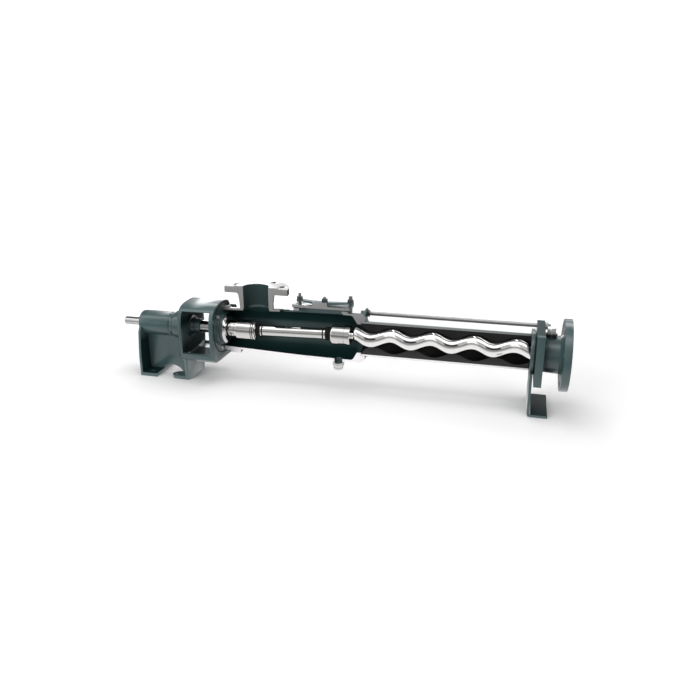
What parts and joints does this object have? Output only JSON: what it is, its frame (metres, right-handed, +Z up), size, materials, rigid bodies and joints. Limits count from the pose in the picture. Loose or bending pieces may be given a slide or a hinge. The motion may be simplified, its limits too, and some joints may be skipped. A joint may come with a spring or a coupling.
{
  "type": "progressive cavity pump",
  "caption": "Progressive cavity pump cut open lengthwise: drive shaft, coupling rod and helical rotor turning in a rubber stator between a suction housing and a discharge flange.",
  "frame": {"origin": "on the ground, below the middle of the pump's length and width", "axes": "+X along the pump axis from drive shaft to discharge flange, +Y away from the cut side, +Z up"},
  "size_m": [1.352, 0.2, 0.296],
  "materials": {
    "green_casting": "dark green-blue enamel on cast iron, cut faces bare grey",
    "polished_stainless": "polished stainless steel",
    "ground_steel": "ground steel",
    "zinc_steel": "zinc-plated steel",
    "black_rubber": "black rubber"
  },
  "bodies": {
    "fixed": {"bearing_lantern": "green_casting", "clamp_bar": "green_casting", "clamp_screw": "zinc_steel", "clamp_stud_left": "zinc_steel", "clamp_stud_right": "zinc_steel", "cleanout_cover": "green_casting", "cover_gasket": "black_rubber", "discharge_body": "green_casting", "drain_plug": "zinc_steel", "drain_plug_seal": "zinc_steel", "drive_end_cover": "green_casting", "foot_bracket": "green_casting", "gauge_plug": "zinc_steel", "gauge_plug_washer": "black_rubber", "inner_bearing_cover": "green_casting", "seal_face_ring": "polished_stainless", "seal_housing": "green_casting", "shaft_seal": "black_rubber", "stator_end_ring": "green_casting", "stator_rubber": "black_rubber", "stator_tube": "green_casting", "suction_housing": "green_casting", "tie_plate": "green_casting", "tie_rod_lower": "zinc_steel", "tie_rod_upper": "zinc_steel"},
    "drive": {"drive_shaft": "ground_steel", "drive_joint_sleeve": "polished_stainless", "drive_joint_boot": "black_rubber"},
    "orbit": {"rotor_joint_boot": "black_rubber"},
    "coupling": {"coupling_rod": "polished_stainless"},
    "rotor": {"rotor_joint_sleeve": "polished_stainless", "rotor": "polished_stainless"}
  },
  "joints": [
    {"name": "drive_spin", "type": "hinge", "parent": "fixed", "child": "drive", "pos_m": [-0.4815, 0, 0.1605], "axis": [1, 0, 0], "continuous": true},
    {"name": "rotor_orbit", "type": "hinge", "parent": "fixed", "child": "orbit", "pos_m": [0.0235, 0, 0.1605], "axis": [1, 0, 0], "continuous": true},
    {"name": "rotor_spin", "type": "hinge", "parent": "orbit", "child": "rotor", "pos_m": [0.0235, 0, 0.1686], "axis": [1, 0, 0], "continuous": true},
    {"name": "rod_spin", "type": "hinge", "parent": "orbit", "child": "coupling", "pos_m": [-0.2565, 0, 0.1605], "axis": [0.9996, 0, 0.0289], "continuous": true}
  ],
  "couplings": [
    {"joint": "rotor_orbit", "follows": "drive_spin", "ratio": -1},
    {"joint": "rotor_spin", "follows": "drive_spin", "ratio": 2},
    {"joint": "rod_spin", "follows": "drive_spin", "ratio": 2}
  ]
}
